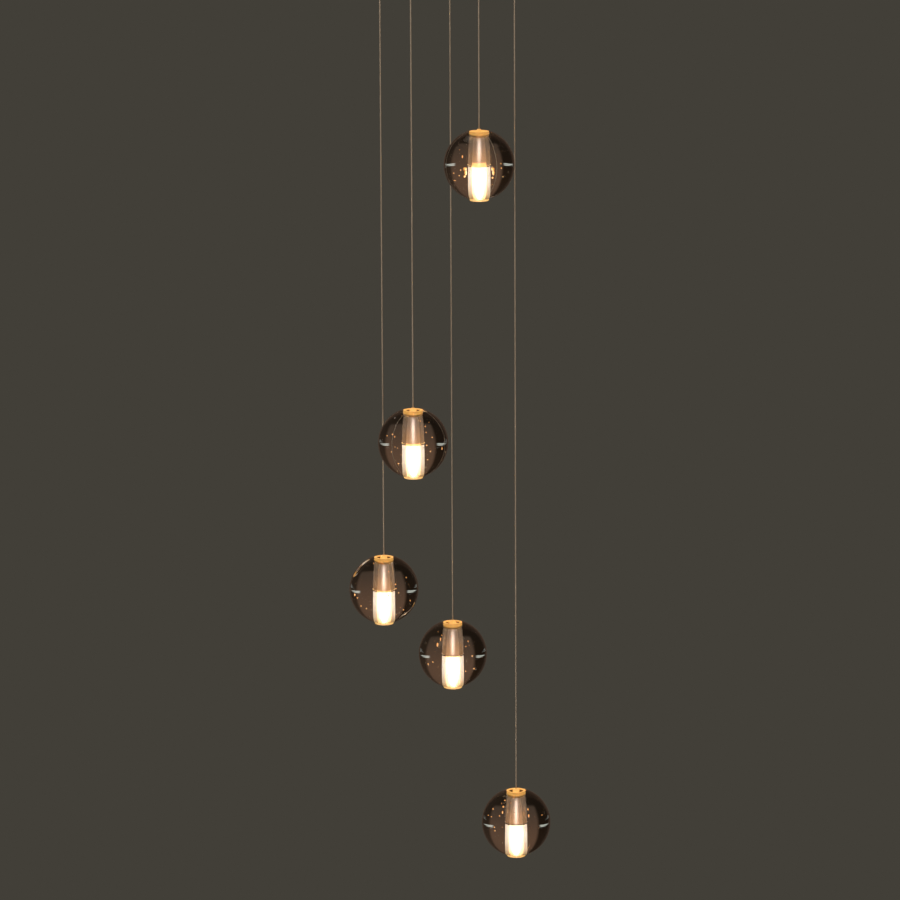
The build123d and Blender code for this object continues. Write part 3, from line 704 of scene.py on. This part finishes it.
def copy_bubble(place_mm, radius_mm, stretch, lean, finish):
    """A copy of the bubble at a place in millimetres, as an object with its own mesh."""
    size = Matrix.Diagonal((*[radius_mm * MM * s for s in stretch], 1.0))
    mesh = bubble.data.copy()
    mesh.transform(Matrix.Translation(Vector(place_mm) * MM)
                   @ Matrix.Rotation(lean, 4, "Y") @ size)
    mesh.materials[0] = finish
    made = bpy.data.objects.new("bubble_copy", mesh)
    bpy.context.scene.collection.objects.link(made)
    return made


# %% Room for a bubble
SKIN = 1.2              # glass left outside a bubble, in mm
BORE_SKIN = 0.5         # and between a bubble and the bore
SEAM_SKIN = 0.4         # and between a bubble and the seam


def free_of_faces(place, radius):
    """True where a bubble of this radius lies wholly in the glass."""
    across = math.hypot(place.x, place.y)
    wide = MOUTH_TOP_R if place.z > MOUTH_FOOT_Z else RECESS_R
    return (place.length + radius < BALL_R - SKIN and across - radius > wide + BORE_SKIN
            and abs(place.z) - radius > SEAM_SKIN)


print("a 1 mm bubble fits 30 mm out:", free_of_faces(Vector((30.0, 0.0, 10.0)), 1.0))
print("and one 55 mm out:", free_of_faces(Vector((55.0, 0.0, 10.0)), 1.0))

# %% Scattered bubbles
LIT_REACH = 24.0        # bubbles within this distance of the axis may catch the core's light
LIT_SHARE = 0.22
FINE_RADII = (0.15, 0.18, 0.2, 0.25, 0.3, 0.4, 0.55)


def scatter(seed, count, reach):
    """Seeded places for small bubbles, thinning out over a reach from the bore's wall."""
    draw = random.Random(seed)
    found = []
    while len(found) < count:
        place = Vector([draw.uniform(-BALL_R, BALL_R) for _ in range(3)])
        radius = draw.choice(FINE_RADII)
        near = math.exp(-(math.hypot(place.x, place.y) - BORE_R) / reach)
        if draw.random() < near and free_of_faces(place, radius):
            stretch = (1.0, 1.0, draw.uniform(0.9, 1.7))
            lit = math.hypot(place.x, place.y) < LIT_REACH and draw.random() < LIT_SHARE
            found.append((place, radius, stretch, draw.uniform(-0.6, 0.6),
                          lit_bubble if lit else cast_glass))
    return found


print("fine bubbles have radii from", min(FINE_RADII), "to", max(FINE_RADII), "mm")

# %% [markdown]
# The larger bubbles are placed by where they are seen in the picture. Seen through the
# ball's curved front, a point at a depth s below it looks 1 / (1 - s / 3R) times as far from
# the middle, for glass of index 1.5, so each place is divided by that.

# %% Bubbles that the photograph shows
ROUND, TALL, WIDE = (1.0, 1.0, 1.0), (0.8, 0.8, 1.8), (2.6, 1.0, 0.7)
# For each ball: right and up from its middle as seen, in mm, then depth in front of its
# middle, radius and shape
SEEN_BUBBLES = {
    1: [(-27, 13, 0, 1.0, TALL), (8, 24, 22, 0.6, ROUND), (35, 2, 0, 0.6, ROUND),
        (36, -5, 0, 0.7, ROUND), (-43, -14, 0, 0.7, ROUND), (-33, -18, 0, 0.7, ROUND),
        (-30, -9, 0, 0.6, ROUND), (-42, -27, 0, 0.7, WIDE), (-23, -7, 8, 2.4, ROUND),
        (-22, -13, 6, 1.8, TALL), (-24, -19, 8, 1.4, ROUND), (22, -7, 8, 2.2, ROUND),
        (23, -13, 6, 1.6, TALL), (22, -21, 8, 1.1, ROUND), (40, -20, 0, 0.6, ROUND)],
    2: [(-44, 12, 0, 0.7, ROUND), (-34, 14, 0, 0.8, ROUND), (-30, 10, 0, 0.6, TALL),
        (20, 27, 8, 0.8, ROUND), (21, 17, 6, 0.7, ROUND), (31, 9, 0, 0.7, ROUND),
        (12, 37, 24, 0.8, ROUND), (-9, -11, 24, 0.6, ROUND), (-8, -18, 22, 0.6, ROUND),
        (-36, -15, 0, 0.6, ROUND), (-25, -35, 4, 0.9, ROUND), (22, -4, 8, 0.8, ROUND),
        (50, -10, 0, 0.9, TALL), (28, -14, 0, 0.7, ROUND), (24, -28, 6, 0.7, ROUND)],
    3: [(8, 30, 22, 1.0, ROUND), (-9, 33, 24, 0.6, ROUND), (19, 8, 8, 0.9, ROUND),
        (20, 1, 8, 0.7, ROUND), (38, 20, 0, 0.7, ROUND), (-52, -10, 0, 1.0, TALL),
        (-46, -15, 0, 0.9, ROUND), (-40, -29, 0, 0.7, ROUND), (7, -10, 24, 1.0, ROUND),
        (11, -12, 22, 0.7, ROUND), (46, -20, 0, 0.8, ROUND), (34, -36, 0, 0.8, ROUND),
        (24, -6, 4, 0.6, ROUND), (-30, -33, 0, 0.7, ROUND)],
    4: [(-26, 15, 4, 1.4, TALL), (-21, 25, 8, 1.0, TALL), (-19, 32, 8, 0.7, ROUND),
        (-43, -18, 0, 0.8, ROUND), (-34, -14, 0, 0.7, ROUND), (37, -26, 0, 1.0, ROUND),
        (26, 21, 0, 0.8, ROUND), (22, 12, 8, 0.7, ROUND), (8, -17, 24, 0.9, ROUND),
        (-2, 30, 26, 0.8, ROUND), (33, -4, 0, 0.8, ROUND), (22, -30, 6, 0.8, ROUND)],
    5: [(-41, 23, 0, 0.8, TALL), (-43, 9, 0, 0.7, ROUND), (-50, 12, 0, 0.7, ROUND),
        (-28, 10, 0, 0.7, ROUND), (-22, 26, 8, 1.2, ROUND), (-23, 16, 6, 1.1, TALL),
        (-20, 38, 6, 0.9, ROUND), (20, 21, 8, 1.0, TALL), (21, 10, 8, 1.2, TALL),
        (45, 12, 0, 0.7, ROUND), (-37, -9, 0, 0.7, ROUND), (-36, -15, 0, 0.7, ROUND),
        (-9, 33, 24, 0.7, ROUND)],
}


def seen_bubbles(number):
    """The placed bubbles of one ball."""
    out_front = (camera.location / MM - ball_centre(number)).normalized()
    found = []
    for right, up, depth, radius, stretch in SEEN_BUBBLES[number]:
        larger = 1 / (1 - (BALL_R - depth) / (3 * BALL_R))
        place = camera_x * (right / larger) + camera_y * (up / larger) + out_front * depth
        if free_of_faces(place, radius * max(stretch)):
            found.append((place, radius, stretch, 0.0, lit_bubble))
        else:
            print("ball", number, "has no room for a bubble seen at", right, up)
    return found


for number in DROPS:
    print("ball", number, "has", len(seen_bubbles(number)), "placed bubbles")

# %% [markdown]
# ## Ten halves, five balls
# Each ball gets its own copy of the two halves, with the bubbles joined in. Faces are given
# their finish by where they lie: the bond is flat at the seam, and the bore is everything
# that looks inwards near the axis. Picking the faces by hand would give the same, but not
# again on the next run.

# %% Finishes and a UV map on each half
FACE_FINISHES = (cast_glass, clear_bond)        # slots 0 and 1; bore and mouth follow
FLAT = 0.99             # a face normal's Z from which the face counts as flat
PICK = 0.1              # slack when a face is picked by its place, in mm


def finish_faces(half, bore_finish, mouth_finish):
    """Material slots by place: 0 outside, 1 bond, 2 bore, 3 mouth. Adds a UV map, V upwards."""
    half.data.materials.clear()
    for finish in (*FACE_FINISHES, bore_finish, mouth_finish):
        half.data.materials.append(finish)
    for face in half.data.polygons:
        across = math.hypot(face.center.x, face.center.y) / MM
        height = face.center.z / MM
        looks_in = face.normal.x * face.center.x + face.normal.y * face.center.y < 0
        at_end = across < RIM_R - 5 * PICK and abs(height) > MOUTH_FOOT_Z - PICK
        if abs(height) < PICK and abs(face.normal.z) > FLAT:
            face.material_index = 1
        elif across < BORE_R + 2 * PICK and looks_in:
            face.material_index = 2
        elif at_end and (looks_in or height < 0):
            face.material_index = 3
    uv_map = half.data.uv_layers.new(name="up_the_ball")
    for corner in half.data.loops:
        point = half.data.vertices[corner.vertex_index].co / MM
        around = math.atan2(point.y, point.x) / (2 * math.pi) + 0.5
        uv_map.data[corner.index].uv = (around, 0.5 + point.z / (2 * BALL_R))
    print(half.name, "has", len(half.data.materials), "finishes")


finish_faces(upper_half, satin_bore, amber_mouth)
finish_faces(lower_half, lit_bore, lit_bore)

# %% Set the halves in place


def set_half(number, pattern, bubbles, node):
    """Copies a half ball to its place, with its bubbles joined in."""
    half = bpy.data.objects.new(f"{pattern.name}_{number}", pattern.data.copy())
    bpy.context.scene.collection.objects.link(half)
    copies = [copy_bubble(*b) for b in bubbles]
    bpy.ops.object.select_all(action="DESELECT")
    for piece in (half, *copies):
        piece.select_set(True)
    bpy.context.view_layer.objects.active = half
    if copies:
        bpy.ops.object.join()
    half.data.transform(Matrix.Translation(ball_centre(number) * MM))
    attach(half, f"ball_{number}")
    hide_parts(f"{node}_{number}")
    print(half.name, "has", len(bubbles), "bubbles and", len(half.data.polygons), "faces")


# %% All ten
FINE_BUBBLES, FINE_REACH, FINE_SEED = 90, 30.0, 40      # through the glass
WALL_BUBBLES, WALL_REACH, WALL_SEED = 50, 2.5, 60       # close to the bore's wall

for number in DROPS:
    bubbles = (scatter(FINE_SEED + number, FINE_BUBBLES, FINE_REACH)
               + scatter(WALL_SEED + number, WALL_BUBBLES, WALL_REACH) + seen_bubbles(number))
    set_half(number, upper_half, [b for b in bubbles if b[0].z > 0], "upper_glass")
    set_half(number, lower_half, [b for b in bubbles if b[0].z < 0], "lower_glass")

for pattern in (upper_half, lower_half, bubble):
    bpy.data.objects.remove(pattern)

# %% [markdown]
# ## Caps
# A cap is moulded in frosted polycarbonate and glows amber, because the lamp shines up
# through the carrier; the glow is painted light in its finish. The CAD model's cap has the
# right shape, so it only needs a finish. To the eye it is brightest outside and on the top,
# where the light leaves it, with soft clouds of 8 mm. The hollow inside gets painted shade in
# its colour and its glow, so the two vents beside the bar look dark.

# %% Amber caps
CAP_CLOUDS = 8.0        # mm
FACING_IN, FACING_OUT = -0.0016, -0.0002        # metres: how far a face's normal looks outwards


def refinish(finish, *node_names):
    """Gives CAD nodes a finish in their first material slot."""
    for node_name in node_names:
        mesh = cad_nodes[node_name].data
        mesh.materials.clear()
        mesh.materials.append(finish)


def from_middle(tree, number):
    """A point's place from the middle of its ball, as a vector in metres."""
    place = add(tree, "TexCoord", out="Object")
    return add(tree, "VectorMath", {0: place, 1: ball_centre(number) * MM},
               operation="SUBTRACT")


def cap_finish(number):
    """Amber frosted plastic with a painted glow on the outside and the top, and painted shade in the
    hollow.
    """
    finish, tree = new_finish(f"frosted_polycarbonate_{number}")
    place = from_middle(tree, number)
    outwards = add(tree, "VectorMath", {0: place, 1: (1.0, 1.0, 0.0)}, operation="MULTIPLY")
    normal = add(tree, "NewGeometry", out="Normal")
    facing = add(tree, "VectorMath", {0: normal, 1: outwards}, out="Value",
                 operation="DOT_PRODUCT")
    facing_out = add(tree, "MapRange", {0: facing, 1: FACING_IN, 2: FACING_OUT}, **SMOOTH)
    height = add(tree, "SeparateXYZ", {0: place}, out="Z")
    painted_glow_on_top = add(tree, "MapRange", {0: height, 1: (CAP_TOP_Z - 2.6) * MM,
                                      2: (CAP_TOP_Z - 0.8) * MM}, **SMOOTH)
    # Painted light on the outer faces and the top; painted shade in the hollow
    outside = add(tree, "Math", {0: facing_out, 1: painted_glow_on_top}, operation="MAXIMUM")
    cloud = grain(tree, CAP_CLOUDS)
    body = add(tree, "Mix", {0: cloud, 6: "#e2b27a", 7: "#f0c894"}, **COLOURS)
    # Painted shade: the hollow's body is dark brown and its glow nearly black
    body = add(tree, "Mix", {0: outside, 6: "#5b4026", 7: body}, **COLOURS)
    glow = add(tree, "Mix", {0: cloud, 6: "#d8984a", 7: "#f4b862"}, **COLOURS)
    glow = add(tree, "Mix", {0: outside, 6: "#1a0d04", 7: glow}, **COLOURS)
    return close_finish(finish, {"Base Color": body, "Roughness": 0.4, "IOR": 1.58,
                                 "Subsurface Weight": 0.15,
                                 "Subsurface Radius": (0.004, 0.002, 0.001),
                                 "Emission Color": glow, "Emission Strength": 1.0})


for number in DROPS:
    refinish(cap_finish(number), f"cap_{number}")

# %% [markdown]
# ## Carriers
# A carrier is a sleeve of spun aluminium, etched to a satin. It gives the eye a soft upright
# highlight. A dim painted glow covers it and grows warmer towards its lower end, for the
# lamp's light that end catches. Spinning leaves rings about a tenth of a millimetre apart;
# they are drawn a third of a millimetre apart, coarser than real, so that they show. A bright
# collar of painted glow on the first carrier's foot starts that core above the seam, as the
# photograph has it.

# %% Satin aluminium
RINGS = 1.0             # mm, squeezed to a third of it along the axis
RINGS_STRETCH = (0.05, 0.05, 3.0)
LAMP_GLOW_HEIGHT = 30.0      # mm above the seam, where the painted glow of the lamp's light ends
CARRIER_GLOW = 0.35
# Where each painted collar of glow ends, in mm from the seam; below it, it lies inside the lit core
GLOW_TOP = {1: 3.5, 2: 0.5, 3: 0.0, 4: -0.7, 5: -2.3}


def carrier_finish(number):
    """Satin metal with fine rings, a painted glow that grows warmer downwards, and a painted lit
    collar at its foot.
    """
    finish, tree = new_finish(f"spun_aluminium_{number}")
    height = add(tree, "SeparateXYZ", {0: from_middle(tree, number)}, out="Z")
    painted_lamp_glow = add(tree, "MapRange", {0: height, 1: LAMP_GLOW_HEIGHT * MM, 2: 0.0}, **SMOOTH)
    # Painted light: a band of bright glow at the foot, up to GLOW_TOP
    collar = add(tree, "MapRange", {0: height, 1: (GLOW_TOP[number] + 0.6) * MM,
                                    2: (GLOW_TOP[number] - 0.3) * MM}, **SMOOTH)
    rings = grain(tree, RINGS, 2.0, RINGS_STRETCH)
    metal = add(tree, "Mix", {0: rings, 6: "#cfc5bd", 7: "#e8e0da"}, **COLOURS)
    glow = add(tree, "Mix", {0: painted_lamp_glow, 6: "#4a3b30", 7: "#9c7a60"}, **COLOURS)
    glow = add(tree, "Mix", {0: collar, 6: glow, 7: "#f3bd72"}, **COLOURS)
    strength = add(tree, "Math", {0: collar, 1: CARRIER_GLOW}, operation="ADD")
    bump = add(tree, "Bump", {"Height": rings, "Strength": 0.2, "Distance": 0.1 * MM})
    return close_finish(finish, {"Base Color": metal, "Metallic": 1.0, "Roughness": 0.36,
                                 "Emission Color": glow, "Emission Strength": strength,
                                 "Normal": bump})


for number in DROPS:
    refinish(carrier_finish(number), f"carrier_{number}")

# %% [markdown]
# ## Lamp holders
# The lamp holder is unglazed steatite, a pressed and fired ceramic. It gives the eye a matt
# off-white with no shine. Its real grain is under a tenth of a millimetre. It is drawn at
# 0.7 mm, coarser than real, so that the surface doesn't look like plastic.

# %% Steatite
STEATITE_GRAIN = 0.7    # mm

finish, tree = new_finish("unglazed_steatite")
speckle = grain(tree, STEATITE_GRAIN)
ceramic = add(tree, "Mix", {0: speckle, 6: "#d8d2c4", 7: "#ebe6da"}, **COLOURS)
bump = add(tree, "Bump", {"Height": speckle, "Strength": 0.2, "Distance": 0.1 * MM})
steatite = close_finish(finish, {"Base Color": ceramic, "Roughness": 0.7, "Normal": bump})
refinish(steatite, *[f"lamp_holder_{n}" for n in DROPS])

# %% [markdown]
# ## Turned metals
# Ferrules, screws, nuts and grips are turned on a lathe. The tool leaves marks round the
# axis, finer than a tenth of a millimetre. Drawn 0.3 mm apart, coarser than real, they show,
# and give the eye a shine that is spread a little along the piece. Brass is yellow and the
# smoothest, nickel plate is warm grey, and zinc plate is a cooler, plainer grey.

# %% Brass, nickel and zinc
TURNING_MARKS = 0.3     # mm
MARK_DEPTH = 0.05       # mm


def turned_metal(name, dark, light, roughness, line_mm=TURNING_MARKS):
    """Metal with fine turning marks round the Z axis, about a set distance apart."""
    finish, tree = new_finish(name)
    marks = grain(tree, line_mm, 1.0, (0.05, 0.05, 1.0))
    metal = add(tree, "Mix", {0: marks, 6: dark, 7: light}, **COLOURS)
    bump = add(tree, "Bump", {"Height": marks, "Strength": 0.15, "Distance": MARK_DEPTH * MM})
    return close_finish(finish, {"Base Color": metal, "Metallic": 1.0,
                                 "Roughness": roughness, "Normal": bump})


refinish(turned_metal("turned_brass", "#b58f4c", "#d9b36a", 0.25), "earth_screw",
         *[f"ferrule_{n}" for n in DROPS])
refinish(turned_metal("satin_nickel_plate", "#a79e91", "#c2b9ac", 0.3), "cord_grips")
refinish(turned_metal("bright_zinc_plate", "#aeada9", "#c8c7c3", 0.28), "cover_screws",
         "grip_nuts", "grip_set_screws", "transformer_screws")

# %% [markdown]
# ## The capsule lamp
# A two-pin capsule lamp is an opal glass capsule, pinched at its foot, on a ceramic base
# with two tinned pins. Each of the three shapes is turned once and copied. The opal glass is
# lit, so it gives the eye a warm shine that is nearly even: slow clouds of 3 mm are all
# that shows of the glass. The pins are bright tinned wire with marks 0.2 mm apart.

# %% Opal glass and the capsule
LAMP_TOP_Z = 0.1        # top of the base, from the middle of the ball, in mm
BASE_FOOT_Z = LAMP_TOP_Z - 6.0
CAPSULE_R, CAPSULE_END_R, CAPSULE_FOOT_Z = 5.0, 3.5, -30.4

finish, tree = new_finish("lit_opal_glass")
shine = add(tree, "Mix", {0: grain(tree, 3.0), 6: "#ffcf95", 7: "#ffe0b4"}, **COLOURS)
lit_opal = close_finish(finish, {"Base Color": linear("#fff2dd"), "Roughness": 0.25,
                                 "Emission Color": shine, "Emission Strength": 15.0})

pen = Pen("capsule", 0.0, BASE_FOOT_Z + 0.4)
pen.line((4.2, BASE_FOOT_Z + 0.4), (4.2, BASE_FOOT_Z - 0.6), (4.9, BASE_FOOT_Z - 2.2),
         (CAPSULE_R, BASE_FOOT_Z - 3.4), (CAPSULE_R, CAPSULE_FOOT_Z))
pen.arc((CAPSULE_R - CAPSULE_END_R, CAPSULE_FOOT_Z), -90, 8)
pen.line((0.0, CAPSULE_FOOT_Z - CAPSULE_END_R))
capsule = pen.turn(32)
capsule.data.materials.append(lit_opal)

# %% Base and pin
BASE_R = 4.4
PIN_R, PIN_TOP_Z = 0.35, 6.9

pen = Pen("lamp_base", 0.0, LAMP_TOP_Z)
pen.line((BASE_R - 0.5, LAMP_TOP_Z), (BASE_R, LAMP_TOP_Z - 0.5), (BASE_R, BASE_FOOT_Z + 0.4),
         (BASE_R - 0.4, BASE_FOOT_Z), (0.0, BASE_FOOT_Z))
base = pen.turn(32)
base.data.materials.append(steatite)

pen = Pen("lamp_pin", 0.0, LAMP_TOP_Z)
pen.line((PIN_R, LAMP_TOP_Z), (PIN_R, PIN_TOP_Z - 0.4), (PIN_R - 0.15, PIN_TOP_Z),
         (0.0, PIN_TOP_Z))
pin = pen.turn(12)
pin.data.materials.append(turned_metal("tinned_wire", "#b9b7b2", "#cfcdc8", 0.3, 0.2))

# %% Five lamps
PIN_SPACING = 4.0       # mm


def copy_to(pattern, name, centre, shift=(0, 0, 0)):
    """A copy with its own mesh, moved to a place in millimetres."""
    made = bpy.data.objects.new(name, pattern.data.copy())
    bpy.context.scene.collection.objects.link(made)
    made.data.transform(Matrix.Translation((centre + Vector(shift)) * MM))
    return made


for number in DROPS:
    centre = ball_centre(number)
    parts = [copy_to(capsule, f"lamp_capsule_{number}", centre),
             copy_to(base, f"lamp_base_{number}", centre),
             copy_to(pin, f"lamp_pin_left_{number}", centre, (-PIN_SPACING / 2, 0, 0)),
             copy_to(pin, f"lamp_pin_right_{number}", centre, (PIN_SPACING / 2, 0, 0))]
    for part in parts:
        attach(part, f"capsule_{number}")
    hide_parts(f"lamp_{number}")
    print("lamp", number, "has", [part.name for part in parts])
for pattern in (capsule, base, pin):
    bpy.data.objects.remove(pattern)

# %% [markdown]
# ## The canopy and what is in it
# The canopy's steel cover is powder-coated, and the plate behind it is zinc-plated. Inside
# are the transformer in its ABS housing, nylon terminal blocks, PVC-sleeved leads, rubber
# bushes and the tails of the cords, which show only when the canopy is taken apart. The CAD
# shapes are right, so each gets a finish, and one function makes them all: a slight change
# of colour and a shallow relief, in grain of a size that suits the surface. Grain that is
# really finer than half a millimetre is drawn at 0.5 to 0.8 mm, so that it shows.

# %% Sprayed, moulded and plated surfaces
RELIEF = 0.2            # mm


def coated(name, dark, light, roughness, grain_mm, strength):
    """A moulded or sprayed surface with fine grain of a set size."""
    finish, tree = new_finish(name)
    texture = grain(tree, grain_mm)
    body = add(tree, "Mix", {0: texture, 6: dark, 7: light}, **COLOURS)
    bump = add(tree, "Bump", {"Height": texture, "Strength": strength, "Distance": RELIEF * MM})
    return close_finish(finish, {"Base Color": body, "Roughness": roughness, "Normal": bump})


# Powder coat flows to an orange-peel of about 1 mm, and gives the eye a soft, broken shine
refinish(coated("satin_powder_coat", "#e2dfd8", "#eae7e0", 0.38, 1.2, 0.15), "canopy_cover")
# Zinc plate on sheet steel is dull and a little cloudy, in patches of a few millimetres
refinish(coated("zinc_plated_steel", "#a9aaa8", "#bdbebc", 0.45, 3.0, 0.1), "ceiling_plate")
# The ABS housing has a moulded spark texture: matt and even
refinish(coated("moulded_abs", "#e4e3de", "#eeede8", 0.5, 0.6, 0.2), "transformer")
# Nylon is creamier and has no shine
refinish(coated("moulded_nylon", "#d0ccc0", "#dedace", 0.55, 0.6, 0.2),
         "mains_terminal_block", "lamp_terminal_block")
# PVC sleeving is extruded, so it is nearly smooth and the shiniest of these
refinish(coated("extruded_pvc", "#211f1b", "#2b2924", 0.35, 0.8, 0.1), "mains_leads",
         "lamp_leads")
# Rubber is nearly black and dull
refinish(coated("moulded_rubber", "#262320", "#302d2a", 0.7, 0.5, 0.2),
         *[f"strain_bush_{n}" for n in DROPS])
# Braid seen from too far for its strands: 0.5 mm grain stands for them
refinish(coated("jacketed_copper_braid", "#8d6f55", "#b3957a", 0.4, 0.5, 0.3), "cord_tails")
